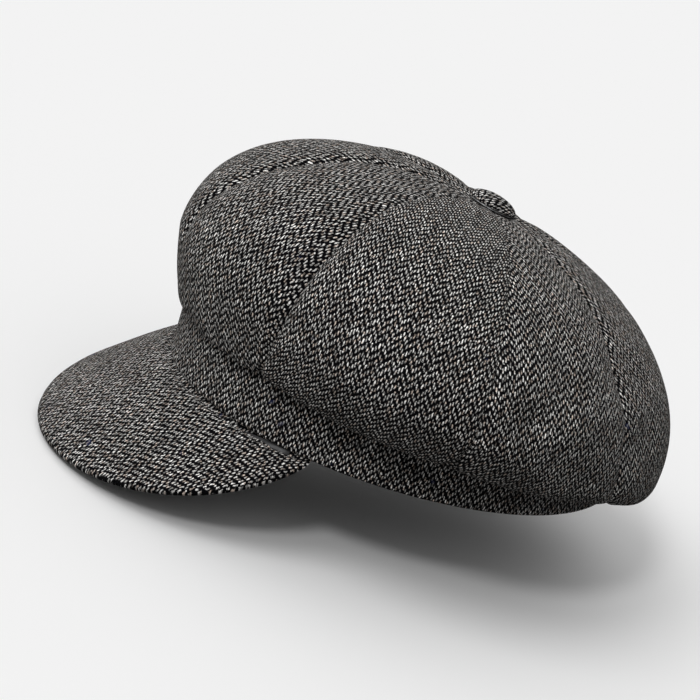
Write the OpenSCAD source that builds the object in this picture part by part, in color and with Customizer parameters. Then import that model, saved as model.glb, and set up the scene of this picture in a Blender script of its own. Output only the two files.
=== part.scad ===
// Newsboy cap: an eight-panel crown slouching over a plain band, a short sewn-in
// visor and a covered button on top.
// +Z is up, -Y is the front and +X is the wearer's left. The origin is the centre
// of the head opening, in the plane of the band's lower edge.

/* [Head opening] */
// Half the width of the band at its lower edge
open_rx = 83; // [78:0.5:90]
// Half the length of the band at its lower edge
open_ry = 100; // [95:0.5:108]
// Height of the band
band_h = 32; // [28:1:36]
// How far the band leans outwards from bottom to top
band_flare = 1.5; // [0.5:0.5:3]

/* [Crown] */
// Half the width of the crown at its widest line
crown_rx = 116; // [110:1:124]
// Reach of the crown in front of the origin
crown_front = 114.5; // [110:0.5:120]
// Reach of the crown behind the origin
crown_back = 117; // [112:1:126]
// Height of the crown under the button
crown_top = 97; // [92:1:104]
// How far the button sits behind the origin
button_y = 13; // [0:1:20]
// How far the button sits to the wearer's left, less than 0 to the right
button_x = -14; // [-16:1:16]
// Slope of the crown's top upwards to the wearer's left
lean_left = 0.09; // [0:0.01:0.15]
// Slope of the crown's top upwards to the front
lean_front = 0.19; // [0:0.01:0.25]
// Height of the crown's widest line at the front
widest_front = 50; // [44:1:56]
// Height of the crown's widest line at the sides
widest_side = 40; // [36:1:50]
// Height of the crown's widest line at the back
widest_back = 13; // [8:1:24]
// How far the rolled edge hangs below the widest line at the front
roll_front = 15; // [8:1:20]
// How far the rolled edge hangs below the widest line at the sides
roll_side = 15; // [10:1:24]
// How far the rolled edge hangs below the widest line at the back
roll_back = 10; // [8:1:16]
// Squareness of the crown's profile at the front
square_front = 2.1; // [2:0.1:3.2]
// Squareness of the crown's profile at the sides and back
square_side = 2.2; // [2:0.1:3]
// Turn of the whole crown on the band, from the way it slouches
crown_turn = -8; // [-12:1:12]
// Depth of the valley along each panel seam
seam_dip = 3; // [0:0.5:4]

/* [Cloth] */
// Thickness of the tweed
tweed_t = 1.2; // [0.8:0.1:1.6]
// Thickness of the lining
lining_t = 0.5; // [0.3:0.1:0.6]
// Gap between the tweed's outer face and the lining
lining_in = 6; // [4:0.5:9]

/* [Visor] */
// Length of the visor along its slope at the centre
visor_len = 60; // [50:1:66]
// Angle round the band from the centre front to each end of the visor
visor_span = 56; // [50:1:64]
// Downward slope of the visor
visor_slope = 39; // [28:1:44]
// Extra droop of the visor's free edge
visor_droop = 4; // [0:1:8]
// Thickness of the visor board
board_t = 1.6; // [1:0.1:2.4]

/* [Button] */
// Radius of the covered button
button_r = 10.8; // [9:0.2:12]
// Height of the button's dome
button_h = 5.5; // [4:0.5:7]

/* [Hidden] */

panel_count = 8;
panel_angle = 360 / panel_count;
// Part of a panel's length that lies above the widest line
dome_part = 0.65;
// Start of a panel beside the hole for the button's shank
panel_start = 0.015;
// Width of the seam allowance turned in over the band
allowance = 1.6;
// Gap between layers of cloth that lie against each other
ply = 0.1;
// Gap between the band and the visor, taken up by the sewn edge
visor_gap = 2.4;
// Width of the visor at its two ends
visor_end = 2;
// How much the visor's outline spreads sideways instead of forwards
visor_spread = 1.6;
// Fullness of the visor's outline
visor_full = 0.85;
// Part of the visor's length that the board fills
board_part = 0.93;
interlining_t = 0.8;
sweatband_t = 1;
// Gap between the crown and the button that stands on it
button_lift = 0.8;
// Depth and width of the hollow round the button, the width as a part of the crown's reach
pole_dip = 3;
pole_dip_w = 0.2;
cover_t = 0.8;
shank_r = 1.2;
elastic_h = 16;
elastic_half_angle = 34;
label_w = 22;
label_h = 14;
label_t = 0.4;
$fn = 48;

tweed_colour = [0.30, 0.29, 0.28];
lining_colour = [0.10, 0.10, 0.11];

function spow(v, e) = sign(v) * pow(abs(v), e);
function mix3(a, front, side, back) =
    side + (cos(a) > 0 ? (front - side) : (side - back)) * cos(a);

// Outward direction in plan of the band's oval at angle a from the centre front
function oval_dir(a) = let (x = open_ry * sin(a), y = -open_rx * cos(a), n = norm([x, y])) [x / n, y / n];
// Point on the band's oval, o outside its lower edge, at height z
function oval_pt(a, o, z) = let (d = oval_dir(a))
    [open_rx * sin(a) + o * d[0], -open_ry * cos(a) + o * d[1], z];

// Point of the crown's surface at angle a from the centre front. s runs from 0 at
// the button through dome_part at the widest line to 1 at the band. k is the depth
// below the outer face.
function crown_pt(a, s, k) = s <= dome_part ? dome_pt(a, s / dome_part, k)
    : roll_pt(a, (s - dome_part) / (1 - dome_part), k);
function widest_pt(a, k) = [(crown_rx - k) * spow(sin(a), 1.1),
    -((cos(a) > 0 ? crown_front : crown_back) - k) * spow(cos(a), 1.1),
    mix3(a, widest_front, widest_side, widest_back)];
function dome_pt(a, u, k) = let (
    w = widest_pt(a, k),
    e = 2 / (square_side + (square_front - square_side) * max(0, cos(a))),
    out = pow(sin(90 * u), e),
    up = pow(max(0, cos(90 * u)), e),
    x = (w[0] - button_x) * out, y = (w[1] - button_y) * out)
    [button_x + x, button_y + y,
     w[2] + (crown_top - k - w[2] + lean_left * x - lean_front * y) * up
     - pole_dip * exp(-pow(out / pole_dip_w, 2))];
function roll_pt(a, u, k) = let (
    w = widest_pt(a, k),
    b = oval_pt(a, band_flare, band_h + k),
    hang = mix3(a, roll_front, roll_side, roll_back) - k,
    out = max(0, cos(90 * u)))
    [b[0] + (w[0] - b[0]) * out, b[1] + (w[1] - b[1]) * out,
     w[2] + (b[2] - w[2]) * u * u - hang * pow(max(0, sin(180 * u)), 0.8)];

// Closed solid between two grids of points, nu by nv cells each. The first grid is
// the outer face.
module between(outer, inner, nu, nv) {
    n = (nu + 1) * (nv + 1);
    function at(i, j) = i * (nv + 1) + j;
    skin = [for (i = [0:nu - 1], j = [0:nv - 1]) each [
        [at(i, j), at(i + 1, j), at(i + 1, j + 1)], [at(i, j), at(i + 1, j + 1), at(i, j + 1)],
        [n + at(i, j), n + at(i + 1, j + 1), n + at(i + 1, j)], [n + at(i, j), n + at(i, j + 1), n + at(i + 1, j + 1)]]];
    sides = [for (j = [0:nv - 1]) each [
        [at(0, j), at(0, j + 1), n + at(0, j + 1)], [at(0, j), n + at(0, j + 1), n + at(0, j)],
        [at(nu, j), n + at(nu, j + 1), at(nu, j + 1)], [at(nu, j), n + at(nu, j), n + at(nu, j + 1)]]];
    ends = [for (i = [0:nu - 1]) each [
        [at(i, 0), n + at(i + 1, 0), at(i + 1, 0)], [at(i, 0), n + at(i, 0), n + at(i + 1, 0)],
        [at(i, nv), at(i + 1, nv), n + at(i + 1, nv)], [at(i, nv), n + at(i + 1, nv), n + at(i, nv)]]];
    polyhedron(points = concat(outer, inner), faces = concat(skin, sides, ends));
}

// How far a panel dips towards its seams, t from 0 at one seam to 1 at the other
function seam_depth(t, s) = seam_dip * (1 - pow(sin(180 * t), 0.7)) * sin(180 * min(1, s));
// One panel of the crown. The last row of points is the edge turned in over the band.
module crown_panel(index) {
    a0 = crown_turn + index * panel_angle;
    nu = 8;
    nv = 20;
    function face(k) = [for (i = [0:nu]) let (a = a0 + panel_angle * i / nu) each concat(
        [for (j = [0:nv]) let (s = panel_start + (1 - panel_start) * j / nv)
            crown_pt(a, s, k + seam_depth(i / nu, s))],
        [oval_pt(a, band_flare - allowance, band_h + k)])];
    color(tweed_colour) between(face(0), face(tweed_t), nu, nv + 1);
}
// The lining lies inside the crown and its lower edge is tucked behind the sweatband.
// Its inner face is offset square to the cloth's run from the button to the band.
module lining_panel(index) {
    a0 = crown_turn + index * panel_angle;
    nu = 6;
    nv = 16;
    function at(t, s) = crown_pt(a0 + panel_angle * t, s, lining_in + seam_depth(t, s));
    function inward(t, s) = let (
        d = oval_dir(a0 + panel_angle * t),
        n = cross([-d[1], d[0], 0], at(t, min(1, s + 0.01)) - at(t, s - 0.01)))
        s < 1 ? n / norm(n) : [0, 0, 1];
    function face(k) = [for (i = [0:nu]) let (t = i / nu, a = a0 + panel_angle * t) each concat(
        [for (j = [0:nv]) let (s = panel_start + (1 - panel_start) * j / nv)
            at(t, s) + k * inward(t, s)],
        [oval_pt(a, band_flare - 3 * allowance, band_h + allowance + k)])];
    color(lining_colour) between(face(0), face(lining_t), nu, nv + 1);
}

// Strip round the band from angle a0 to a1: o0 and o1 are its inner and outer faces,
// measured from the band's outer face, z0 and z1 its edges.
module strip(a0, a1, o0, o1, z0, z1, n) {
    function lean(z) = band_flare * z / band_h;
    function face(o) = [for (i = [0:n]) let (a = a0 + (a1 - a0) * i / n)
        each [oval_pt(a, o + lean(z1), z1), oval_pt(a, o + lean(z0), z0)]];
    between(face(o1), face(o0), n, 1);
}
// The same strip as a closed ring
module ring(o0, o1, z0, z1, n = 72) {
    function lean(z) = band_flare * z / band_h;
    pts = [for (i = [0:n - 1]) let (a = 360 * i / n) each [
        oval_pt(a, o1 + lean(z1), z1), oval_pt(a, o1 + lean(z0), z0),
        oval_pt(a, o0 + lean(z0), z0), oval_pt(a, o0 + lean(z1), z1)]];
    function at(i, j) = (i % n) * 4 + (j % 4);
    polyhedron(points = pts, faces = [for (i = [0:n - 1], j = [0:3]) each [
        [at(i, j), at(i + 1, j), at(i + 1, j + 1)], [at(i, j), at(i + 1, j + 1), at(i, j + 1)]]]);
}

module outer_band() {
    color(tweed_colour) ring(-tweed_t, 0, 0, band_h);
}
module band_interlining() {
    a = 180 - elastic_half_angle - 4;
    color("gainsboro") strip(-a, a, -tweed_t - ply - interlining_t, -tweed_t - ply, 1, band_h - 1, 56);
}
module sweatband() {
    o = -tweed_t - interlining_t - 2 * ply;
    color("black") ring(o - sweatband_t, o, 0, band_h - 1);
}
module back_elastic() {
    z0 = (band_h - elastic_h) / 2;
    color("white") strip(180 - elastic_half_angle, 180 + elastic_half_angle,
        -tweed_t - ply - interlining_t, -tweed_t - ply, z0, z0 + elastic_h, 16);
}
module size_label() {
    half = asin(label_w / 2 / open_rx);
    o = -tweed_t - interlining_t - sweatband_t - 3 * ply;
    color("white") strip(180 - half, 180 + half, o - label_t, o, 4, 4 + label_h, 4);
}

// Point of the visor's middle surface at angle a from the centre front. v runs from
// 0 at the band to 1 at the free edge, h is the height above the middle surface.
function visor_reach(a) = visor_end
    + (visor_len - visor_end) * pow(max(0, cos(90 * a / visor_span)), visor_full);
function visor_pt(a, v, h) = let (
    p = oval_pt(a, visor_gap, 0),
    d = [visor_spread * sin(a), -cos(a)] / norm([visor_spread * sin(a), -cos(a)]),
    reach = visor_reach(a) * v,
    out = reach * cos(visor_slope) + h * sin(visor_slope),
    drop = reach * sin(visor_slope) + visor_droop * v * v * visor_reach(a) / visor_len)
    [p[0] + d[0] * out, p[1] + d[1] * out, h * cos(visor_slope) - drop];
// Layer of the visor between heights h0 and h1, which close on the middle at the rim
module visor_layer(h0, h1, rim0, rim1, part, nu = 28, nv = 8) {
    function face(h, rim) = [for (i = [0:nu]) each [for (j = [0:nv])
        let (v = part * (1 - pow(1 - j / nv, 1.5)))
        visor_pt(visor_span * (2 * i / nu - 1), v, j == nv ? rim : h)]];
    between(face(h1, rim1), face(h0, rim0), nu, nv);
}
module visor_board() {
    color("dimgray") visor_layer(-board_t / 2, board_t / 2, -board_t / 2, board_t / 2, board_part);
}
module visor_top_cover() {
    h = board_t / 2 + ply;
    color(tweed_colour) visor_layer(h, h + tweed_t, ply / 2, h, 1);
}
module visor_under_cover() {
    h = board_t / 2 + ply;
    color(tweed_colour) visor_layer(-h - tweed_t, -h, -h, -ply / 2, 1);
}

// Places the button's parts: z = 0 is the crown's outer face, square to its slope
module on_crown_top() {
    translate([button_x, button_y, crown_top - pole_dip])
        rotate([-atan(lean_front), -atan(lean_left), 0]) children();
}
// Thin round dome that stands on the crown's top
module dome(r, h, t) {
    steps = 10;
    function arc(r, h) = [for (i = [0:steps]) [r * cos(90 * i / steps), h * sin(90 * i / steps)]];
    on_crown_top() translate([0, 0, button_lift]) rotate_extrude()
        polygon(concat(arc(r, h), [[0, h - t]], [for (i = [steps - 1:-1:0]) arc(r - t, h - t)[i]]));
}
module button_cover() {
    color(tweed_colour) dome(button_r, button_h, cover_t);
}
module button_shell() {
    color("silver") dome(button_r - cover_t - ply, button_h - cover_t - ply, 0.5);
}
module button_back() {
    color("silver") on_crown_top() {
        translate([0, 0, button_lift]) cylinder(r = button_r - 1.8, h = 0.8);
        translate([0, 0, -3.4]) cylinder(r = shank_r, h = 3.4 + button_lift + 0.4);
    }
}
module button_washer() {
    color("silver") on_crown_top() translate([0, 0, -2.6]) difference() {
        cylinder(r = 6, h = 0.6);
        translate([0, 0, -1]) cylinder(r = shank_r + ply, h = 3);
    }
}

crown_panel(0);  // crown_panel_front_left
crown_panel(1);  // crown_panel_left_front
crown_panel(2);  // crown_panel_left_back
crown_panel(3);  // crown_panel_back_left
crown_panel(4);  // crown_panel_back_right
crown_panel(5);  // crown_panel_right_back
crown_panel(6);  // crown_panel_right_front
crown_panel(7);  // crown_panel_front_right
lining_panel(0);  // lining_panel_front_left
lining_panel(1);  // lining_panel_left_front
lining_panel(2);  // lining_panel_left_back
lining_panel(3);  // lining_panel_back_left
lining_panel(4);  // lining_panel_back_right
lining_panel(5);  // lining_panel_right_back
lining_panel(6);  // lining_panel_right_front
lining_panel(7);  // lining_panel_front_right
outer_band();
band_interlining();
sweatband();
back_elastic();
size_label();
visor_top_cover();
visor_under_cover();
visor_board();
button_cover();
button_shell();
button_back();
button_washer();
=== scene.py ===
import math

import bpy
import numpy as np
from mathutils import Matrix, Vector, noise


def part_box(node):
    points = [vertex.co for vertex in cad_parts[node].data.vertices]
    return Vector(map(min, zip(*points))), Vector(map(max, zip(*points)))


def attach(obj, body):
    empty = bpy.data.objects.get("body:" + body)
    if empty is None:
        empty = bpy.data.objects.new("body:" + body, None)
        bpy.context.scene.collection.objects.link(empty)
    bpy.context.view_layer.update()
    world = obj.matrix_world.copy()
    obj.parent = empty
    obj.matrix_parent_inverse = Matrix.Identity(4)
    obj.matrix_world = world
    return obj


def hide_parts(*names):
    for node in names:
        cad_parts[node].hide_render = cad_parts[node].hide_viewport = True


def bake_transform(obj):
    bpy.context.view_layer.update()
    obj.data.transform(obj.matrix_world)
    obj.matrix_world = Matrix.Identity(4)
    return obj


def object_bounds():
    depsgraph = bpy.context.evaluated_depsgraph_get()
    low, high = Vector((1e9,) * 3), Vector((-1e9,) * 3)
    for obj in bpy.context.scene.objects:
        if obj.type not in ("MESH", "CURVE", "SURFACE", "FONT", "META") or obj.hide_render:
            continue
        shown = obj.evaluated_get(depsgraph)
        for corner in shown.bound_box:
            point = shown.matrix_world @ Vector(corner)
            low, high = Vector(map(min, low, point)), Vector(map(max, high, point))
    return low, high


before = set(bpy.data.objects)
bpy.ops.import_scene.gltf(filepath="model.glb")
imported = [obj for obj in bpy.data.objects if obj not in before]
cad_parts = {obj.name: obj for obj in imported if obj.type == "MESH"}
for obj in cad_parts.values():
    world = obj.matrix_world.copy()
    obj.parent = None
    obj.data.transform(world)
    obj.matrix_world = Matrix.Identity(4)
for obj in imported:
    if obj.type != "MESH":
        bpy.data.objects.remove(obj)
cad_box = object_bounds()

# ---------------------------------------------------------------------------
# Crown. Eight gores of herringbone tweed, sewn edge to edge from the button
# down to the band. The cloth stands out past the band and rolls under, and it
# slouches to the back. The seams lie in valleys and pucker a little.
# ---------------------------------------------------------------------------
GORES = ("front_left", "left_front", "left_back", "back_left",
         "back_right", "right_back", "right_front", "front_right")
BAND_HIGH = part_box("outer_band")[1]
BAND_H = BAND_HIGH.z
BAND_FLARE = 0.0015
OPEN_RX = BAND_HIGH.x - BAND_FLARE
OPEN_RY = BAND_HIGH.y - BAND_FLARE
POLE = (-0.014, 0.013, 0.097)      # where the button sits: the crown slouches to one side
POLE_DIP, POLE_DIP_W = 0.003, 0.2  # hollow round the button, its width as a part of the crown's reach
LEAN_LEFT, LEAN_FRONT = 0.09, 0.19
CROWN_RX, CROWN_FRONT, CROWN_BACK = 0.116, 0.1145, 0.117
WIDEST_Z = (0.050, 0.040, 0.013)   # height of the widest line: front, sides, back
ROLL_HANG = (0.0145, 0.0150, 0.010)  # how far the roll hangs below it
ROLL_TURN = (2.0, 1.9, 1.0)        # how near the band its lowest line lies, 1 is half way out
SQUARE_FRONT, SQUARE_SIDE = 2.1, 2.2
CROWN_TURN = math.radians(-8)
GORE_ANGLE = math.tau / len(GORES)
DOME_PART = 0.65
TWEED_T = 0.0012


def signed_power(v, e):
    return np.sign(v) * np.abs(v) ** e


def round_the_band(a, values):
    front, side, back = values
    return side + np.where(np.cos(a) > 0, front - side, side - back) * np.cos(a)


def band_point(a, out, z):
    """Point at angle a from the centre front, out metres outside the band's lower edge."""
    dx, dy = OPEN_RY * np.sin(a), -OPEN_RX * np.cos(a)
    n = np.hypot(dx, dy)
    x = OPEN_RX * np.sin(a) + out * dx / n
    y = -OPEN_RY * np.cos(a) + out * dy / n
    return np.stack([x, y, z + 0 * x], -1)


def crown_point(a, s, k):
    """Point of the crown, k below its outer face. s is 0 at the button, DOME_PART at the
    widest line and 1 at the band."""
    reach = np.where(np.cos(a) > 0, CROWN_FRONT, CROWN_BACK)
    wx = (CROWN_RX - k) * signed_power(np.sin(a), 1.1)
    wy = -(reach - k) * signed_power(np.cos(a), 1.1)
    wz = round_the_band(a, WIDEST_Z)
    square = SQUARE_SIDE + (SQUARE_FRONT - SQUARE_SIDE) * np.clip(np.cos(a), 0, 1)
    u = np.clip(s / DOME_PART, 0, 1) * math.pi / 2
    out, up = np.sin(u) ** (2 / square), np.clip(np.cos(u), 0, 1) ** (2 / square)
    dx, dy = (wx - POLE[0]) * out, (wy - POLE[1]) * out
    top = POLE[2] - k + LEAN_LEFT * dx - LEAN_FRONT * dy
    hollow = POLE_DIP * np.exp(-(out / POLE_DIP_W) ** 2)
    dome = np.stack([POLE[0] + dx, POLE[1] + dy, wz + (top - wz) * up - hollow], -1)
    u = np.clip((s - DOME_PART) / (1 - DOME_PART), 0, 1)
    rim = band_point(a + 0 * s, BAND_FLARE, BAND_H + k)
    hang = round_the_band(a, ROLL_HANG) - k
    out = np.clip(np.cos(u * math.pi / 2), 0, 1)
    lowest = np.clip(np.sin(math.pi * u ** round_the_band(a, ROLL_TURN)), 0, 1) ** 0.8
    z = wz + (rim[..., 2] - wz) * u * u - hang * lowest
    roll = np.stack([rim[..., 0] + (wx - rim[..., 0]) * out, rim[..., 1] + (wy - rim[..., 1]) * out, z], -1)
    return np.where((s <= DOME_PART)[..., None], dome, roll)


def soft_noise(points, scale, seed):
    """Smooth noise from -1 to 1 at each point, with features about scale metres apart."""
    flat = points.reshape(-1, 3) / scale + seed * 7.31
    values = [noise.noise(Vector(p)) for p in flat]
    return np.array(values).reshape(points.shape[:-1])


def cloth_shell(name, outer, inner, grain):
    """Closed piece of cloth between two grids of points. grain is the cloth's own flat
    coordinates in metres, across and along the weave's columns, kept as its UV map."""
    nu, nv = outer.shape[0] - 1, outer.shape[1] - 1
    n = (nu + 1) * (nv + 1)
    index = np.arange(n).reshape(nu + 1, nv + 1)
    a, b, c, d = index[:-1, :-1], index[:-1, 1:], index[1:, 1:], index[1:, :-1]
    outside = np.stack([a, b, c, d], -1).reshape(-1, 4)
    inside = np.stack([a, d, c, b], -1).reshape(-1, 4) + n
    rim = np.concatenate([index[:, 0], index[-1, 1:], index[-2::-1, -1], index[0, -2:0:-1]])
    rim_next = np.roll(rim, -1)
    walls = np.stack([rim, rim_next, rim_next + n, rim + n], -1)
    faces = np.concatenate([outside, inside, walls])
    points = np.concatenate([outer.reshape(-1, 3), inner.reshape(-1, 3)])
    mesh = bpy.data.meshes.new(name)
    mesh.from_pydata(points.tolist(), [], faces.tolist())
    uv = mesh.uv_layers.new(name="grain")
    flat = np.concatenate([grain.reshape(-1, 2)] * 2)
    uv.data.foreach_set("uv", flat[faces.ravel()].astype(np.float32).ravel())
    mesh.polygons.foreach_set("use_smooth", [True] * len(faces))
    mesh.validate()
    piece = bpy.data.objects.new(name, mesh)
    bpy.context.scene.collection.objects.link(piece)
    return piece


def gore_grain(base):
    """Flat pattern of a gore: metres across from its centre line, and along it from the button."""
    step = np.linalg.norm(np.diff(base, axis=0), axis=-1)
    across = np.concatenate([np.zeros((1, base.shape[1])), np.cumsum(step, 0)])
    middle = base.shape[0] // 2
    across -= across[middle]
    step = np.linalg.norm(np.diff(base[middle], axis=0), axis=-1)
    along = np.concatenate([[0], np.cumsum(step)])[None, :] + 0 * across
    return np.stack([across, along], -1)


def seam_spacing(cells, tight):
    """Steps from 0 to 1 that lie closer together at both ends."""
    t = np.linspace(0, 1, cells + 1)
    return t - tight * np.sin(math.tau * t) / math.tau


# how far each seam lies under the middle of the gores beside it, and how far down it starts
SEAM_DIP = (0.0052, 0.0036, 0.0020, 0.0030, 0.0030, 0.0030, 0.0030, 0.0040)
SEAM_FROM = (0.0, 0.30, 0.25, 0.0, 0.0, 0.0, 0.0, 0.0)
SEAM_VALLEY, SEAM_VALLEY_W = 0.0014, 0.0016  # depth and half width of the sharp valley right at it
SEAM_FOLD_W = 0.0045  # half width of the wider fold along it, and its depth:
SEAM_FOLD = (0.0030, 0.0024, 0.0003, 0.0010, 0.0012, 0.0010, 0.0010, 0.0020)
PUCKER, PUCKER_REACH = 0.0005, 0.008  # of the small gathers beside a seam
# dents (deep above 0) and fuller places (below 0) of the soft crown: the two ends of
# each, how wide it is and how deep
DENTS = (
    ((0.102, 0.021, 0.067), (0.113, 0.008, 0.052), 0.009, 0.0028),
    ((0.064, 0.064, 0.069), (0.072, 0.056, 0.064), 0.012, 0.0025),
    ((0.073, 0.081, 0.042), (0.082, 0.072, 0.040), 0.010, 0.0022),
    ((0.113, 0.022, 0.035), (0.108, 0.040, 0.030), 0.009, 0.0022),
    ((-0.054, -0.026, 0.094), (-0.052, -0.009, 0.094), 0.022, -0.0035),
    ((0.000, 0.062, 0.082), (0.004, 0.080, 0.072), 0.030, -0.0020),
    ((-0.020, -0.078, 0.096), (-0.022, -0.092, 0.088), 0.022, 0.0020),
    ((0.008, -0.006, 0.097), (0.014, 0.016, 0.094), 0.013, -0.0022),
)


def far_from(points, first, last):
    """Distance of each point from the line between two points."""
    first, last = np.array(first), np.array(last)
    line = last - first
    part = np.clip(((points - first) @ line) / (line @ line), 0, 1)
    return np.linalg.norm(points - first - part[..., None] * line, axis=-1)


def gore_depth(points, t, width, s, number):
    """How far below the crown's full form a gore lies: its seams, puckers and dents."""
    full = np.clip(np.sin(math.pi * np.clip(s, 0, 1)), 0, 1)
    side_dip, folds = 0, 0
    for seam, side in ((number, t), ((number + 1) % len(GORES), 1 - t)):
        past_start = s - SEAM_FROM[seam]
        side_dip = side_dip + SEAM_DIP[seam] * np.clip((past_start + 0.1) / 0.2, 0.35, 1) * (1 - side)
        folds = folds + (SEAM_FOLD[seam] * np.exp(-(side * width / SEAM_FOLD_W) ** 2)
                         * np.clip((past_start + 0.05) / 0.15, 0, 1))
    sag = side_dip * full * (1 - np.clip(np.sin(math.pi * t), 0, 1) ** 0.7)
    from_seam = np.minimum(t, 1 - t) * width
    uneven = 0.8 + 0.4 * soft_noise(points, 0.02, 3)
    valley = SEAM_VALLEY * np.exp(-(from_seam / SEAM_VALLEY_W) ** 1.5) * uneven
    valley = valley + folds * np.clip((0.72 - s) / 0.12, 0, 1)
    pucker = PUCKER * soft_noise(points, 0.006, 5) * np.exp(-from_seam / PUCKER_REACH)
    soft = 0.0016 * soft_noise(points, 0.055, 11) + 0.0007 * soft_noise(points, 0.024, 17)
    for first, last, wide, deep in DENTS:
        soft = soft + deep * np.exp(-(far_from(points, first, last) / wide) ** 2)
    return sag + (valley + pucker) * np.clip(full * 3, 0, 1) + soft * full


def node_helpers(tree):
    """Short ways to add math nodes to a node tree."""
    nodes, links = tree.nodes, tree.links

    def plug(value, socket):
        if isinstance(value, (int, float, tuple)):
            socket.default_value = value
        else:
            links.new(value, socket)

    def calc(operation, *values, clamp=False):
        node = nodes.new("ShaderNodeMath")
        node.operation, node.use_clamp = operation, clamp
        for value, socket in zip(values, node.inputs):
            plug(value, socket)
        return node.outputs[0]

    def fit(value, low, high, to_low=0.0, to_high=1.0):
        node = nodes.new("ShaderNodeMapRange")
        node.interpolation_type = "SMOOTHSTEP"
        for v, socket in zip((value, low, high, to_low, to_high), node.inputs):
            plug(v, socket)
        return node.outputs[0]

    def blend(factor, first, second, mode="MIX"):
        node = nodes.new("ShaderNodeMix")
        node.data_type, node.blend_type = "RGBA", mode
        plug(factor, node.inputs[0])
        plug(first, node.inputs[6])
        plug(second, node.inputs[7])
        return node.outputs[2]

    def mottle(vector, scale, detail=2.0, rough=0.5):
        node = nodes.new("ShaderNodeTexNoise")
        plug(vector, node.inputs["Vector"])
        node.inputs["Scale"].default_value = scale
        node.inputs["Detail"].default_value = detail
        node.inputs["Roughness"].default_value = rough
        return node.outputs["Fac"]

    return calc, fit, blend, mottle


def new_group(name, inputs, outputs):
    tree = bpy.data.node_groups.new(name, "ShaderNodeTree")
    for label, kind, default in inputs:
        socket = tree.interface.new_socket(label, in_out="INPUT", socket_type=kind)
        if default is not None:
            socket.default_value = default
    for label, kind in outputs:
        tree.interface.new_socket(label, in_out="OUTPUT", socket_type=kind)
    source, sink = tree.nodes.new("NodeGroupInput"), tree.nodes.new("NodeGroupOutput")
    return tree, source.outputs, sink.inputs


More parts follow.
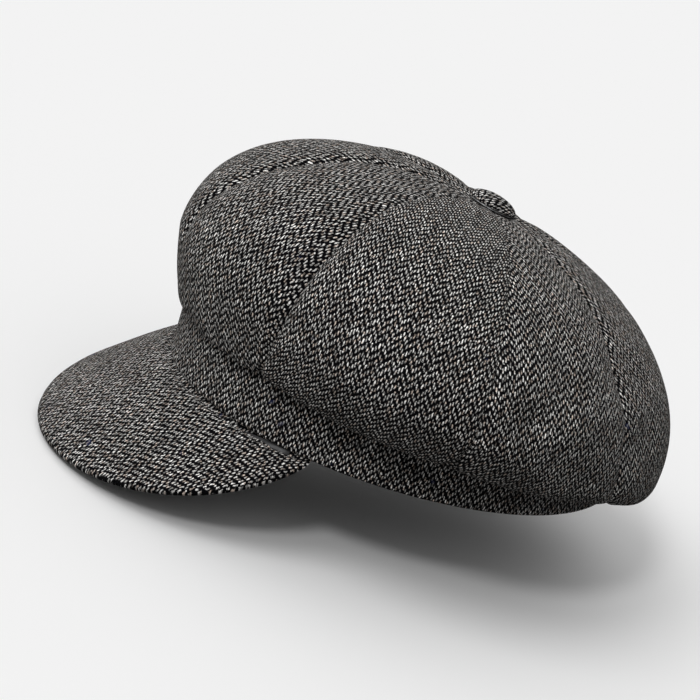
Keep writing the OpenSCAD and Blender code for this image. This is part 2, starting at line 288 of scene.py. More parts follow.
def herringbone_group():
    """Herringbone: the light yarns run along the columns and float over the dark ones. Each float
    is a step further along than its neighbour, one way in one column and the other way in the next."""
    tree, given, result = new_group("herringbone", [
        ("Grain", "NodeSocketVector", None),
        ("Column", "NodeSocketFloat", 0.0029),
        ("Pitch", "NodeSocketFloat", 0.0036),
        ("Slant", "NodeSocketFloat", 0.0036),
        ("Yarns", "NodeSocketFloat", 3.0),
        ("Light yarn", "NodeSocketColor", (0.85, 0.835, 0.81, 1)),
        ("Tan yarn", "NodeSocketColor", (0.62, 0.52, 0.45, 1)),
        ("Dark yarn", "NodeSocketColor", (0.003, 0.003, 0.004, 1)),
    ], [("Color", "NodeSocketColor"), ("Height", "NodeSocketFloat")])
    calc, fit, blend, mottle = node_helpers(tree)
    nodes, links = tree.nodes, tree.links
    wobble = nodes.new("ShaderNodeTexNoise")
    wobble.inputs["Scale"].default_value = 520
    wobble.inputs["Detail"].default_value = 2
    links.new(given["Grain"], wobble.inputs["Vector"])
    shift = nodes.new("ShaderNodeVectorMath")
    shift.operation = "MULTIPLY_ADD"
    links.new(wobble.outputs["Color"], shift.inputs[0])
    shift.inputs[1].default_value = (0.0011, 0.0013, 0)
    links.new(given["Grain"], shift.inputs[2])
    split = nodes.new("ShaderNodeSeparateXYZ")
    links.new(shift.outputs[0], split.inputs[0])
    across, along = split.outputs[0], split.outputs[1]
    yarn_at = calc("MULTIPLY", calc("DIVIDE", across, given["Column"]), given["Yarns"])
    yarn_number = calc("FLOOR", yarn_at)
    in_yarn = calc("ABSOLUTE", calc("SUBTRACT", calc("FRACT", yarn_at), 0.5))
    stepped = calc("MULTIPLY_ADD", calc("ADD", yarn_number, 0.5), 0.75, calc("MULTIPLY", yarn_at, 0.25))
    column_at = calc("DIVIDE", stepped, given["Yarns"])
    column = calc("FLOOR", calc("DIVIDE", calc("ADD", yarn_number, 0.5), given["Yarns"]))
    zigzag = calc("PINGPONG", column_at, 1.0)
    slanted = calc("MULTIPLY_ADD", zigzag, given["Slant"], along)
    turn = calc("MULTIPLY_ADD", calc("PINGPONG", column, 1.0), 0.36, calc("DIVIDE", slanted, given["Pitch"]))
    float_number = calc("FLOOR", turn)
    phase = calc("FRACT", turn)
    # random numbers for each float of light yarn
    pick = nodes.new("ShaderNodeCombineXYZ")
    links.new(yarn_number, pick.inputs[0])
    links.new(float_number, pick.inputs[1])
    chance = nodes.new("ShaderNodeTexWhiteNoise")
    chance.noise_dimensions = "2D"
    links.new(pick.outputs[0], chance.inputs["Vector"])
    apart = nodes.new("ShaderNodeSeparateColor")
    links.new(chance.outputs["Color"], apart.inputs[0])
    shade, kind, duty = apart.outputs[0], apart.outputs[1], apart.outputs[2]
    fibres = mottle(given["Grain"], 1900, 3, 0.7)
    edge = calc("ABSOLUTE", calc("SUBTRACT", phase, 0.5))
    half_width = calc("MULTIPLY_ADD", duty, 0.10, 0.200)
    loose = calc("MULTIPLY_ADD", calc("SUBTRACT", fibres, 0.5), 0.55, edge)
    light = fit(calc("SUBTRACT", loose, half_width), -0.06, 0.06, 1.0, 0.0)
    # a dark gap shows between one yarn and the next
    broken = fit(calc("MULTIPLY_ADD", calc("SUBTRACT", fibres, 0.5), 0.25, in_yarn), 0.17, 0.38, 1.0, 0.0)
    light = calc("MULTIPLY", light, broken)
    dashes = fit(mottle(given["Grain"], 900, 1, 0.5), 0.36, 0.60, 0.30, 1.30)
    strength = calc("MULTIPLY", calc("MULTIPLY_ADD", shade, 0.75, 0.60), dashes)
    speck = mottle(given["Grain"], 640, 1, 0.5)
    tan = fit(calc("MULTIPLY_ADD", kind, 0.25, speck), 0.66, 0.76)
    yarn = blend(tan, given["Light yarn"], given["Tan yarn"])
    lit = blend(1.0, yarn, strength, "MULTIPLY")
    dark = blend(fit(fibres, 0.60, 0.85), given["Dark yarn"], (0.016, 0.015, 0.015, 1))
    cloth = blend(light, dark, lit)
    patches = mottle(given["Grain"], 48, 3, 0.6)
    cloth = blend(1.0, cloth, calc("MULTIPLY_ADD", patches, 0.9, 0.55), "MULTIPLY")
    # a rare slub of blue wool
    slub = fit(mottle(given["Grain"], 150, 0, 0.5), 0.80, 0.84)
    cloth = blend(calc("MULTIPLY", slub, 0.6), cloth, (0.02, 0.03, 0.10, 1))
    ridge = calc("ABSOLUTE", calc("SINE", calc("MULTIPLY", turn, math.pi)))
    height = calc("MULTIPLY_ADD", fibres, 0.9, calc("MULTIPLY", ridge, broken))
    links.new(cloth, result["Color"])
    links.new(height, result["Height"])
    return tree


HERRINGBONE = herringbone_group()


def grain_of(tree):
    """The cloth's own flat coordinates, from its UV map."""
    node = tree.nodes.new("ShaderNodeUVMap")
    node.uv_map = "grain"
    return node.outputs[0]


def add_bump(tree, height, strength, distance):
    bump = tree.nodes.new("ShaderNodeBump")
    bump.inputs["Strength"].default_value = strength
    bump.inputs["Distance"].default_value = distance
    tree.links.new(height, bump.inputs["Height"])
    tree.links.new(bump.outputs[0], tree.nodes["Principled BSDF"].inputs["Normal"])


def tweed_material(name):
    material = bpy.data.materials.new(name)
    material.use_nodes = True
    tree = material.node_tree
    shader = tree.nodes["Principled BSDF"]
    weave = tree.nodes.new("ShaderNodeGroup")
    weave.node_tree = HERRINGBONE
    tree.links.new(grain_of(tree), weave.inputs["Grain"])
    add_bump(tree, weave.outputs["Height"], 0.9, 0.0006)
    tree.links.new(weave.outputs["Color"], shader.inputs["Base Color"])
    shader.inputs["Roughness"].default_value = 0.95
    shader.inputs["Specular IOR Level"].default_value = 0.04
    shader.inputs["Sheen Weight"].default_value = 0.07
    shader.inputs["Sheen Roughness"].default_value = 0.25
    shader.inputs["Sheen Tint"].default_value = (0.75, 0.73, 0.70, 1)
    return material


TWEED = tweed_material("herringbone_tweed")
GORE_CELLS, GORE_ROWS = 36, 100
GORE_START = 0.012   # edge of the hole for the button's shank
TURNED_IN = 0.0016   # width of the edge turned in over the band
for number, where in enumerate(GORES):
    t = seam_spacing(GORE_CELLS, 0.75)[:, None]
    s = np.linspace(GORE_START, 1, GORE_ROWS + 1)[None, :]
    angle = CROWN_TURN + GORE_ANGLE * (number + t) + 0 * s
    t, s = t + 0 * s, s + 0 * t
    base = crown_point(angle, s, 0 * s)
    grain = gore_grain(base)
    width = (grain[-1, :, 0] - grain[0, :, 0])[None, :]
    depth = gore_depth(base, t, width, s, number)
    turned_in = band_point(angle[:, -1:], BAND_FLARE - TURNED_IN, BAND_H)
    outer = np.concatenate([crown_point(angle, s, depth), turned_in], 1)
    inner = np.concatenate([crown_point(angle, s, depth + TWEED_T), turned_in + [0, 0, TWEED_T]], 1)
    grain = np.concatenate([grain, grain[:, -1:] + [0, TURNED_IN]], 1)
    panel = cloth_shell("tweed_gore_" + where, outer, inner, grain)
    panel.data.materials.append(TWEED)
    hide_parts("crown_panel_" + where)
    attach(panel, "cap")

# ---------------------------------------------------------------------------
# Crown lining. Eight gores of thin black satin behind the tweed ones, a little
# smaller, sewn together and tucked behind the sweatband's upper edge. They hang
# in soft folds and their seams stand up inside.
# ---------------------------------------------------------------------------
LINING_IN, LINING_T = 0.006, 0.0004
LINING_CLEAR = 0.0012  # least gap between the tweed and the lining


def fine_weave_group():
    """Closely woven cloth: diagonal or straight ribs of thread, with uneven yarns. Its first output,
    multiplied into the colour, is partly painted shade, darker in the grooves between the ribs and lighter on
    their crests, and partly the yarns' uneven tone.
    """
    tree, given, result = new_group("fine_weave", [
        ("Grain", "NodeSocketVector", None),
        ("Thread", "NodeSocketFloat", 0.0005),
        ("Slope", "NodeSocketFloat", 1.0),
        ("Uneven", "NodeSocketFloat", 0.3),
    ], [("Painted rib shade and tone", "NodeSocketFloat"), ("Height", "NodeSocketFloat")])
    calc, fit, blend, mottle = node_helpers(tree)
    split = tree.nodes.new("ShaderNodeSeparateXYZ")
    tree.links.new(given["Grain"], split.inputs[0])
    slanted = calc("MULTIPLY_ADD", split.outputs[1], given["Slope"], split.outputs[0])
    turn = calc("DIVIDE", slanted, given["Thread"])
    rib = calc("ABSOLUTE", calc("SINE", calc("MULTIPLY", turn, math.pi)))
    yarn = mottle(given["Grain"], 900, 2, 0.6)
    cloudy = mottle(given["Grain"], 60, 3, 0.6)
    uneven = calc("MULTIPLY", calc("SUBTRACT", calc("ADD", yarn, cloudy), 1.0), given["Uneven"])
    # painted shade: the rib wave darkens the colour in the grooves between the ribs and lightens it on their
    # crests; the yarn and cloud noise add uneven tone
    shade = calc("ADD", calc("MULTIPLY_ADD", rib, 0.35, 0.75), uneven)
    tree.links.new(shade, result["Painted rib shade and tone"])
    tree.links.new(calc("MULTIPLY_ADD", yarn, 0.4, rib), result["Height"])
    return tree


FINE_WEAVE = fine_weave_group()


def woven_material(name, colour, thread, slope, uneven, roughness, bump, specular=0.3):
    """Cloth of one colour of yarn."""
    material = bpy.data.materials.new(name)
    material.use_nodes = True
    tree = material.node_tree
    calc, fit, blend, mottle = node_helpers(tree)
    shader = tree.nodes["Principled BSDF"]
    weave = tree.nodes.new("ShaderNodeGroup")
    weave.node_tree = FINE_WEAVE
    tree.links.new(grain_of(tree), weave.inputs["Grain"])
    for label, value in (("Thread", thread), ("Slope", slope), ("Uneven", uneven)):
        weave.inputs[label].default_value = value
    # the cloth's colour is multiplied by the painted rib shade and the uneven yarn tone
    tree.links.new(blend(1.0, colour, weave.outputs["Painted rib shade and tone"], "MULTIPLY"), shader.inputs["Base Color"])
    tree.links.new(fit(weave.outputs["Painted rib shade and tone"], 0.6, 1.3, roughness + 0.08, roughness - 0.05),
                   shader.inputs["Roughness"])
    add_bump(tree, weave.outputs["Height"], 0.7, bump)
    shader.inputs["Specular IOR Level"].default_value = specular
    return material


LINING_SATIN = woven_material("lining_satin", (0.022, 0.021, 0.024, 1), thread=0.0004, slope=0.25,
                              uneven=0.25, roughness=0.40, bump=0.00008, specular=0.5)
LINING_SATIN.node_tree.nodes["Principled BSDF"].inputs["Sheen Weight"].default_value = 0.08
for number, where in enumerate(GORES):
    t = seam_spacing(24, 0.7)[:, None]
    s = np.linspace(0.010, 1, 61)[None, :]
    angle = CROWN_TURN + GORE_ANGLE * (number + t) + 0 * s
    t, s = t + 0 * s, s + 0 * t
    base = crown_point(angle, s, LINING_IN + 0 * s)
    full = np.sin(math.pi * s)
    flat = gore_grain(base)
    width = (flat[-1, :, 0] - flat[0, :, 0])[None, :]
    from_seam = np.minimum(t, 1 - t) * width
    folds = 0.0011 * soft_noise(np.stack([angle * 0.03, s * 0.02, 0 * s], -1), 0.006, 41)
    depth = (LINING_IN + 0.0028 * full * (1 - np.sin(math.pi * t) ** 0.7)
             + 0.0009 * np.exp(-(from_seam / 0.0012) ** 2) + folds * full)
    tweed_depth = gore_depth(crown_point(angle, s, 0 * s), t, width, s, number)
    depth = np.maximum(depth, tweed_depth + TWEED_T + LINING_CLEAR)
    tucks = [band_point(angle[:, -1:], BAND_FLARE - 0.0012, BAND_H + 0.0030),
             band_point(angle[:, -1:], BAND_FLARE - 0.00215, BAND_H - 0.0030)]
    outer = np.concatenate([crown_point(angle, s, depth), *tucks], 1)
    inner = np.concatenate([crown_point(angle, s, depth + LINING_T)]
                           + [p + (p * [1, 1, 0]) * -LINING_T / 0.09 for p in tucks], 1)
    grain = gore_grain(outer)
    panel = cloth_shell("lining_gore_" + where, outer, inner, grain)
    panel.data.materials.append(LINING_SATIN)
    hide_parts("lining_panel_" + where)
    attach(panel, "cap")

# ---------------------------------------------------------------------------
# Button. A pressed metal shell with a disc of tweed gathered over it and closed
# by a back plate. Its shank goes through the middle of the crown to a washer.
# ---------------------------------------------------------------------------
BUTTON_R, BUTTON_H, BUTTON_BASE = 0.0108, 0.0046, 0.0017
up_here = Vector((-LEAN_LEFT, LEAN_FRONT, 1)).normalized()
button_turn = np.array(up_here.to_track_quat("Z", "Y").to_matrix())


def button_point(u, v, deep):
    """Point of the covered button from flat coordinates of -1 to 1, with its edge turned under."""
    x, y = u * np.sqrt(1 - v * v / 2), v * np.sqrt(1 - u * u / 2)
    r = np.hypot(x, y)
    tilt = np.clip(r, 0, 1) * math.radians(130)
    round_it = np.arctan2(y, x)
    gather = 1 + 0.028 * np.sin(19 * round_it) * np.clip((tilt - 1.1) / 0.8, 0, 1)
    out = (BUTTON_R - deep) * np.sin(tilt) * gather
    high = np.where(tilt < math.pi / 2, BUTTON_H - deep, 0.0014 - deep) * np.cos(tilt)
    local = np.stack([out * np.cos(round_it), out * np.sin(round_it), BUTTON_BASE + high], -1)
    return local @ button_turn.T + np.array(POLE) - [0, 0, POLE_DIP], np.stack([x, y], -1) * BUTTON_R * 1.5


u, v = np.meshgrid(np.linspace(-1, 1, 49), np.linspace(-1, 1, 49))
outer, grain = button_point(u, v, 0)
cover = cloth_shell("tweed_button", outer, button_point(u, v, 0.0008)[0], grain)
cover.data.materials.append(TWEED)
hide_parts("button_cover")
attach(cover, "cap")


def metal_material(name):
    """Stamped aluminium: fine rolling lines and a dull, slightly uneven skin."""
    material = bpy.data.materials.new(name)
    material.use_nodes = True
    tree = material.node_tree
    calc, fit, blend, mottle = node_helpers(tree)
    shader = tree.nodes["Principled BSDF"]
    place = tree.nodes.new("ShaderNodeTexCoord").outputs["Object"]
    stretch = tree.nodes.new("ShaderNodeMapping")
    stretch.inputs["Scale"].default_value = (1, 14, 1)
    tree.links.new(place, stretch.inputs["Vector"])
    lines = mottle(stretch.outputs[0], 400, 3, 0.6)
    tree.links.new(blend(lines, (0.42, 0.42, 0.43, 1), (0.62, 0.62, 0.63, 1)), shader.inputs["Base Color"])
    tree.links.new(fit(lines, 0.3, 0.7, 0.32, 0.5), shader.inputs["Roughness"])
    shader.inputs["Metallic"].default_value = 1.0
    add_bump(tree, lines, 0.3, 0.00005)
    return material


BUTTON_METAL = metal_material("stamped_aluminium")
for node in ("button_shell", "button_back", "button_washer"):
    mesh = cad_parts[node].data
    mesh.materials.clear()
    mesh.materials.append(BUTTON_METAL)

# ---------------------------------------------------------------------------
# Band. One strip of the same tweed round the head opening, with its ends joined
# at the centre back. Inside it lie a strip of stiff non-woven round the front and
# sides, and a strip of elastic at the back, which gathers it a little.
# ---------------------------------------------------------------------------


def strip(name, ends, out, thick, low, high, cells, rows, ripple=None, swell=0.0):
    """Strip of cloth round the head between two angles. out is where its outer face lies,
    measured from the band's outer face. Its two long edges are round."""
    a = np.linspace(*ends, cells + 1)[:, None]
    z = high + (low - high) * seam_spacing(rows, 0.8)[None, :]
    a, z = a + 0 * z, z + 0 * a
    from_edge = np.minimum(z - low, high - z)
    half = thick / 2 * np.sqrt(1 - (1 - np.clip(from_edge / (0.7 * thick) + 0.02, 0, 1)) ** 2)
    half = half * (1 + swell * np.exp(-((from_edge - 0.0012) / 0.001) ** 2))
    middle = BAND_FLARE * z / BAND_H + out - thick / 2
    if ripple is not None:
        middle = middle + ripple(a, z)
    outer, inner = band_point(a, middle + half, z), band_point(a, middle - half, z)
    step = np.linalg.norm(np.diff(band_point(a, 0, 0 * z)[:, 0], axis=0), axis=-1)
    length = np.concatenate([[0], np.cumsum(step)])[:, None] + 0 * z
    piece = cloth_shell(name, outer, inner, np.stack([length, z], -1))
    return piece


def elastic_gathers(a, z):
    """Small upright gathers at the back, where the elastic draws the band in."""
    back = np.clip((np.abs(a) - math.radians(143)) / 0.12, 0, 1)
    return 0.0005 * back * np.sin(a * 74 + 2 * np.sin(a * 17)) * np.sin(math.pi * z / BAND_H)


def band_ripple(a, z):
    level = np.sin(math.pi * np.clip(z / BAND_H, 0, 1))
    joint = np.exp(-(np.abs(math.pi - np.abs(a)) * OPEN_RX / 0.0013) ** 2)
    hem = 0.0006 * np.exp(-((z - 0.002) / 0.002) ** 2)
    return (0.0006 * soft_noise(band_point(a, 0, z), 0.03, 23) * level
            + 0.5 * elastic_gathers(a, z) - 0.0007 * joint + hem)


band = strip("tweed_band", (-math.pi, math.pi), 0, TWEED_T, 0, BAND_H, 300, 18, band_ripple)
band.data.materials.append(TWEED)
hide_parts("outer_band")
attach(band, "cap")

GAP = 0.0001
STIFFENER_T = 0.0008
stiff_end = math.radians(180 - 38)
stiffener = strip("band_stiffener", (-stiff_end, stiff_end), -TWEED_T - GAP, STIFFENER_T,
                  0.001, BAND_H - 0.001, 120, 8)
stiffener.data.materials.append(
    woven_material("non_woven", (0.62, 0.61, 0.58, 1), 0.004, 0.6, 0.9, 0.85, 0.0002, 0.2))
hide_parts("band_interlining")
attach(stiffener, "cap")

elastic_low, elastic_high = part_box("back_elastic")
half_angle = math.radians(34)
elastic = strip("elastic_strip", (math.pi - half_angle, math.pi + half_angle), -TWEED_T - GAP, STIFFENER_T,
                elastic_low.z, elastic_high.z, 90, 12,
                lambda a, z: 0.6 * elastic_gathers(np.minimum(a, math.tau - a), z))
elastic.data.materials.append(
    woven_material("braided_elastic", (0.72, 0.72, 0.70, 1), 0.0012, 0.0, 0.3, 0.75, 0.0004, 0.3))
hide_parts("back_elastic")
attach(elastic, "cap")

# ---------------------------------------------------------------------------
# Sweatband. A black cotton twill strip inside the opening, lockstitched to the
# band close to its lower edge and again near its upper edge, over the lining.
# The elastic gathers it at the back.
# ---------------------------------------------------------------------------
SWEAT_OUT, SWEAT_T = -0.0022, 0.0010
sweatband = strip("twill_sweatband", (-math.pi, math.pi), SWEAT_OUT, SWEAT_T, 0, BAND_H - 0.001, 300, 18,
                  lambda a, z: (elastic_gathers(a, z)
                                - 0.00015 * (1 + soft_noise(band_point(a, 0, z), 0.02, 29))),
                  swell=0.25)
sweatband.data.materials.append(
    woven_material("black_twill", (0.020, 0.020, 0.021, 1), 0.0007, 1.1, 0.5, 0.78, 0.00025, 0.25))
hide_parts("sweatband")
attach(sweatband, "cap")


def stitch_row_tree():
    """A row of stitches along a line: one short fat thread at each step, lying along the line."""
    tree = bpy.data.node_groups.new("row_of_stitches", "GeometryNodeTree")
    for label, kind, default in (("Geometry", "NodeSocketGeometry", None), ("Step", "NodeSocketFloat", 0.003),
                                 ("Length", "NodeSocketFloat", 0.0022), ("Thread", "NodeSocketFloat", 0.0005),
                                 ("Seed", "NodeSocketInt", 7), ("Material", "NodeSocketMaterial", None)):
        socket = tree.interface.new_socket(label, in_out="INPUT", socket_type=kind)
        if default is not None:
            socket.default_value = default
    tree.interface.new_socket("Geometry", in_out="OUTPUT", socket_type="NodeSocketGeometry")
    make, join = tree.nodes.new, tree.links.new
    given, result = make("NodeGroupInput").outputs, make("NodeGroupOutput").inputs
    line, spaced = make("GeometryNodeMeshToCurve"), make("GeometryNodeResampleCurve")
    spaced.mode = "LENGTH"
    join(given["Geometry"], line.inputs[0])
    join(line.outputs[0], spaced.inputs["Curve"])
    join(given["Step"], spaced.inputs["Length"])
    thread = make("GeometryNodeMeshUVSphere")
    thread.inputs["Segments"].default_value, thread.inputs["Rings"].default_value = 8, 6
    thread.inputs["Radius"].default_value = 0.5
    along = make("FunctionNodeAlignRotationToVector")
    along.axis = "X"
    join(make("GeometryNodeInputTangent").outputs[0], along.inputs["Vector"])
    size = make("ShaderNodeCombineXYZ")
    for label, part in (("Length", 0), ("Thread", 1), ("Thread", 2)):
        join(given[label], size.inputs[part])
    uneven = make("FunctionNodeRandomValue")
    uneven.data_type = "FLOAT_VECTOR"
    uneven.inputs["Min"].default_value = (0.85, 0.9, 0.9)
    uneven.inputs["Max"].default_value = (1.05, 1.1, 1.1)
    join(given["Seed"], uneven.inputs["Seed"])
    scale = make("ShaderNodeVectorMath")
    scale.operation = "MULTIPLY"
    join(size.outputs[0], scale.inputs[0])
    join(uneven.outputs[0], scale.inputs[1])
    place = make("GeometryNodeInstanceOnPoints")
    join(spaced.outputs[0], place.inputs["Points"])
    join(thread.outputs[0], place.inputs["Instance"])
    join(along.outputs[0], place.inputs["Rotation"])
    join(scale.outputs[0], place.inputs["Scale"])
    real, finish = make("GeometryNodeRealizeInstances"), make("GeometryNodeSetMaterial")
    join(place.outputs[0], real.inputs[0])
    join(real.outputs[0], finish.inputs["Geometry"])
    join(given["Material"], finish.inputs["Material"])
    join(finish.outputs[0], result[0])
    return tree


STITCH_ROW = stitch_row_tree()


def sew(name, lines, material, step=0.003, length=0.0022, thread=0.0005, seed=7):
    """Stitches along each line of points, as one plain mesh."""
    points, edges = [], []
    for line in lines:
        first = len(points)
        points += [tuple(p) for p in line]
        edges += [(i, i + 1) for i in range(first, len(points) - 1)]
    mesh = bpy.data.meshes.new(name + "_line")
    mesh.from_pydata(points, edges, [])
    path = bpy.data.objects.new(name + "_line", mesh)
    bpy.context.scene.collection.objects.link(path)
    row = path.modifiers.new("stitches", "NODES")
    row.node_group = STITCH_ROW
    values = {"Step": step, "Length": length, "Thread": thread, "Seed": seed, "Material": material}
    for item in STITCH_ROW.interface.items_tree:
        if item.in_out == "INPUT" and item.name in values:
            row[item.identifier] = values[item.name]
    done = bpy.data.meshes.new_from_object(path.evaluated_get(bpy.context.evaluated_depsgraph_get()))
    done.name = name
    bpy.data.objects.remove(path)
    stitches = bpy.data.objects.new(name, done)
    bpy.context.scene.collection.objects.link(stitches)
    return stitches


def thread_material(name, colour):
    """Twisted sewing thread."""
    material = bpy.data.materials.new(name)
    material.use_nodes = True
    tree = material.node_tree
    calc, fit, blend, mottle = node_helpers(tree)
    place = tree.nodes.new("ShaderNodeTexCoord").outputs["Object"]
    twist = mottle(place, 3000, 2, 0.6)
    shader = tree.nodes["Principled BSDF"]
    shade = calc("MULTIPLY_ADD", twist, 0.9, 0.5)
    tree.links.new(blend(1.0, colour, shade, "MULTIPLY"), shader.inputs["Base Color"])
    tree.links.new(fit(twist, 0.3, 0.7, 0.5, 0.7), shader.inputs["Roughness"])
    add_bump(tree, twist, 0.5, 0.0001)
    return material


BLACK_THREAD = thread_material("black_thread", (0.035, 0.035, 0.037, 1))
round_head = np.linspace(-math.pi, math.pi, 241)
inner_face = SWEAT_OUT - SWEAT_T - 0.0002


def line_on_sweatband(a, z):
    return band_point(a, BAND_FLARE * z / BAND_H + inner_face + elastic_gathers(a, z + 0 * a), z)


seams = [line_on_sweatband(round_head, z) for z in (0.0028, BAND_H - 0.0035)]
sweatband_stitches = sew("sweatband_stitches", seams, BLACK_THREAD)
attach(sweatband_stitches, "cap")

# ---------------------------------------------------------------------------
# Size label. A small blank tab of woven satin ribbon, sewn to the sweatband at
# the centre back along both of its ends.
# ---------------------------------------------------------------------------
label_low, label_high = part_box("size_label")
label_half = math.asin(label_high.x / OPEN_RX)
label = strip("woven_label", (math.pi - label_half, math.pi + label_half), inner_face - 0.0001, 0.0004,
              label_low.z, label_high.z, 24, 10)
label.data.materials.append(
    woven_material("label_ribbon", (0.74, 0.72, 0.67, 1), 0.0006, 0.0, 0.2, 0.55, 0.0001, 0.4))
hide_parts("size_label")
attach(label, "cap")
LABEL_THREAD = thread_material("label_thread", (0.60, 0.58, 0.54, 1))
ends = []
for side in (-1, 1):
    a = math.pi + side * (label_half - 0.012)
    ends.append([band_point(np.array(a), BAND_FLARE * z / BAND_H + inner_face - 0.0006, z)
                 for z in np.linspace(label_low.z + 0.001, label_high.z - 0.001, 9)])
label_stitches = sew("label_stitches", ends, LABEL_THREAD, step=0.0019, length=0.0014, thread=0.00035, seed=3)
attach(label_stitches, "cap")

# ---------------------------------------------------------------------------
# Visor. A stiff board between two covers of tweed, sewn together round the
# free edge and turned, so that the edge is round and full. Its seam with the
# band is caught under the band's lower edge. The weave runs from front to back.
# ---------------------------------------------------------------------------
VISOR_LEN, VISOR_SPAN = 0.0625, math.radians(56)
VISOR_SLOPE, VISOR_DROOP = math.radians(38.8), 0.004
VISOR_SPREAD, VISOR_FULL, VISOR_END = 1.6, 0.85, 0.0042
VISOR_HALF_T = 0.0022
VISOR_ROOT = 0.0033   # width of its seam allowance, which lies flat against the band's lower edge
VISOR_UNDER = 0.0007  # how far below that edge the middle of its thickness lies there
# the groove where it comes out from under the band: depth, place and half width
VISOR_GROOVE, GROOVE_AT, GROOVE_W = 0.0016, 0.0044, 0.0012


def visor_point(a, v, h):
    """Point of the visor: a is the angle round the band, v runs from 0 at the band to 1 at
    the free edge, and h is the height above the middle of its thickness."""
    to_end = np.cos(math.pi / 2 * a / VISOR_SPAN)
    reach_full = VISOR_END + (VISOR_LEN - VISOR_END) * np.clip(to_end, 0, 1) ** VISOR_FULL
    dx, dy = VISOR_SPREAD * np.sin(a), -np.cos(a)
    n = np.hypot(dx, dy)
    reach = reach_full * v
    out = reach * math.cos(VISOR_SLOPE) + h * math.sin(VISOR_SLOPE)
    past_root = 0.5 * (reach - VISOR_ROOT + np.hypot(reach - VISOR_ROOT, 0.0006))
    drop = VISOR_UNDER + past_root * math.sin(VISOR_SLOPE) + VISOR_DROOP * v * v * reach_full / VISOR_LEN
    groove = VISOR_GROOVE * np.clip(3.5 * to_end, 0, 1)
    drop = drop + groove * np.exp(-((reach - GROOVE_AT) / GROOVE_W) ** 2)
    p = band_point(a, -VISOR_ROOT, 0)
    z = h * math.cos(VISOR_SLOPE) - drop
    return np.stack([p[..., 0] + dx / n * out, p[..., 1] + dy / n * out, z], -1)


def visor_cover(name, side):
    """Top (side 1) or under (side -1) cover, from the seam at the band to the free edge."""
    a = np.linspace(-VISOR_SPAN, VISOR_SPAN, 121)[:, None]
    v = 1 - (1 - np.linspace(0, 1, 45)[None, :]) ** 1.6
    a, v = a + 0 * v, v + 0 * a
    reach = VISOR_LEN * np.clip(np.cos(math.pi / 2 * a / VISOR_SPAN), 0.03, 1) ** VISOR_FULL
    from_rim, from_seam = (1 - v) * reach, v * reach
    round_rim = np.sqrt(np.clip(1 - (1 - np.clip(from_rim / 0.0024, 0, 1)) ** 2, 0, 1))
    round_seam = np.clip((from_seam - VISOR_ROOT) / 0.004, 0, 1) ** 0.7
    ground = visor_point(a, v, 0)
    full = VISOR_HALF_T * round_rim * (0.25 + 0.75 * round_seam)
    full = full * (1 + 0.10 * soft_noise(ground, 0.02, 31 + side))
    outer = visor_point(a, v, side * (full + 0.00005))
    inner = visor_point(a, v, side * np.clip(full - TWEED_T, 0.00002, 1))
    grain = np.stack([ground[..., 0], ground[..., 1] / math.cos(VISOR_SLOPE)], -1) * 1.05
    if side < 0:
        outer, inner, grain = outer[::-1], inner[::-1], grain[::-1]
    return cloth_shell(name, outer, inner, grain), grain


for name, side, node in (("visor_top_tweed", 1, "visor_top_cover"),
                         ("visor_under_tweed", -1, "visor_under_cover")):
    cover, grain = visor_cover(name, side)
    cover.data.materials.append(TWEED)
    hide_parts(node)
    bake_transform(cover)

a = np.linspace(-VISOR_SPAN * 0.9, VISOR_SPAN * 0.9, 61)[:, None]
v = np.linspace(0.10, 0.92, 19)[None, :]
a, v = a + 0 * v, v + 0 * a
board = cloth_shell("visor_board_plate", visor_point(a, v, 0.0008), visor_point(a, v, -0.0008),
                    np.stack([0.1 * a, 0.06 * v], -1))
board_plastic = bpy.data.materials.new("board_plastic")
board_plastic.use_nodes = True
calc, fit, blend, mottle = node_helpers(board_plastic.node_tree)
place = board_plastic.node_tree.nodes.new("ShaderNodeTexCoord").outputs["Object"]
skin = mottle(place, 900, 3, 0.6)
board_shader = board_plastic.node_tree.nodes["Principled BSDF"]
board_plastic.node_tree.links.new(blend(skin, (0.04, 0.04, 0.042, 1), (0.07, 0.07, 0.072, 1)),
                                  board_shader.inputs["Base Color"])
board_plastic.node_tree.links.new(fit(skin, 0.3, 0.7, 0.45, 0.6), board_shader.inputs["Roughness"])
add_bump(board_plastic.node_tree, skin, 0.3, 0.0001)
board.data.materials.append(board_plastic)
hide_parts("visor_board")
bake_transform(board)

# ---------------------------------------------------------------------------
# Studio: pale floor, soft lights and the camera, which looks from the front
# left and is rolled, so that the cap seems to lean back on its band.
# ---------------------------------------------------------------------------
floor_z = cad_box[0].z - 0.001
bpy.ops.mesh.primitive_plane_add(size=60, location=(0, 0, floor_z))
floor = bpy.context.object
floor.name = "floor"
paint = bpy.data.materials.new("floor_paint")
paint.use_nodes = True
floor_tree = paint.node_tree
floor_tree.nodes["Principled BSDF"].inputs["Base Color"].default_value = (0.97, 0.97, 0.97, 1)
floor_tree.nodes["Principled BSDF"].inputs["Roughness"].default_value = 0.95
floor_tree.nodes["Principled BSDF"].inputs["Specular IOR Level"].default_value = 0.0
# little of the light on the floor comes back up under the cap
dim = floor_tree.nodes.new("ShaderNodeBsdfDiffuse")
dim.inputs[0].default_value = (0.16, 0.16, 0.16, 1)
either = floor_tree.nodes.new("ShaderNodeMixShader")
floor_tree.links.new(floor_tree.nodes.new("ShaderNodeLightPath").outputs["Is Camera Ray"], either.inputs[0])
floor_tree.links.new(dim.outputs[0], either.inputs[1])
floor_tree.links.new(floor_tree.nodes["Principled BSDF"].outputs[0], either.inputs[2])
floor_tree.links.new(either.outputs[0], floor_tree.nodes["Material Output"].inputs[0])
floor.data.materials.append(paint)

world = bpy.data.worlds.new("studio")
bpy.context.scene.world = world
world.use_nodes = True
sky = world.node_tree
sky.nodes["Background"].inputs[0].default_value = (1, 1, 1, 1)
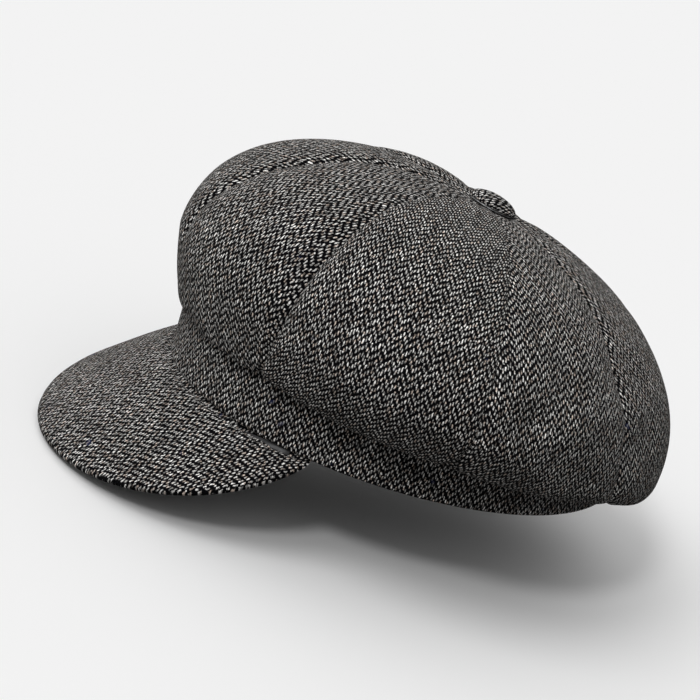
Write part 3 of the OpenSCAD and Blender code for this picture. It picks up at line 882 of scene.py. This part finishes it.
# the room's light comes mostly from overhead, a little from the front
overhead = Vector((-0.05, -0.40, 1)).normalized()
facing = sky.nodes.new("ShaderNodeVectorMath")
facing.operation = "DOT_PRODUCT"
sky.links.new(sky.nodes.new("ShaderNodeTexCoord").outputs["Generated"], facing.inputs[0])
facing.inputs[1].default_value = overhead
calc, fit, blend, mottle = node_helpers(sky)
sky.links.new(fit(facing.outputs["Value"], -0.20, 0.95, 0.02, 0.80), sky.nodes["Background"].inputs[1])
wall = sky.nodes.new("ShaderNodeBackground")
wall.inputs[0].default_value = (1, 1, 1, 1)
wall.inputs[1].default_value = 0.95
pick = sky.nodes.new("ShaderNodeMixShader")
sky.links.new(sky.nodes.new("ShaderNodeLightPath").outputs["Is Camera Ray"], pick.inputs[0])
sky.links.new(sky.nodes["Background"].outputs[0], pick.inputs[1])
sky.links.new(wall.outputs[0], pick.inputs[2])
sky.links.new(pick.outputs[0], sky.nodes["World Output"].inputs[0])


def soft_light(name, direction, strength, spread):
    """Even soft light from one side, as from a large panel far away."""
    data = bpy.data.lights.new(name, "SUN")
    data.energy, data.angle = strength, math.radians(spread)
    light = bpy.data.objects.new(name, data)
    bpy.context.scene.collection.objects.link(light)
    light.rotation_mode = "QUATERNION"
    light.rotation_quaternion = Vector(direction).to_track_quat("Z", "Y")


soft_light("key", (0.22, -0.85, 1.15), 0.74, 30)
soft_light("low", (0.72, -0.62, 0.90), 0.62, 10)

VIEW_WIDTH = 0.2974926          # what the camera takes in at the cap's distance
CAMERA_DISTANCE = 1.2
CAMERA_AZIMUTH, CAMERA_ELEVATION, CAMERA_ROLL = (math.radians(v) for v in (68, 20, 21))
AIM = (-0.0187420, 0.0261496)   # where it looks, to the left of the origin and above it
camera_data = bpy.data.cameras.new("camera")
camera_data.lens = camera_data.sensor_width * CAMERA_DISTANCE / VIEW_WIDTH
camera = bpy.data.objects.new("camera", camera_data)
bpy.context.scene.collection.objects.link(camera)
sa, ca, se, ce = (math.sin(CAMERA_AZIMUTH), math.cos(CAMERA_AZIMUTH),
                  math.sin(CAMERA_ELEVATION), math.cos(CAMERA_ELEVATION))
back = Vector((sa * ce, -ca * ce, se))
right, up = Vector((ca, sa, 0)), Vector((-sa * se, ca * se, ce))
roll_c, roll_s = math.cos(CAMERA_ROLL), math.sin(CAMERA_ROLL)
view_right = right * roll_c + up * roll_s
view_up = -right * roll_s + up * roll_c
turn = Matrix((view_right, view_up, back)).transposed()
centre = view_right * AIM[0] + view_up * AIM[1]
camera.matrix_world = Matrix.Translation(centre + back * CAMERA_DISTANCE) @ turn.to_4x4()
bpy.context.scene.camera = camera
bpy.context.scene.view_settings.view_transform = "Standard"
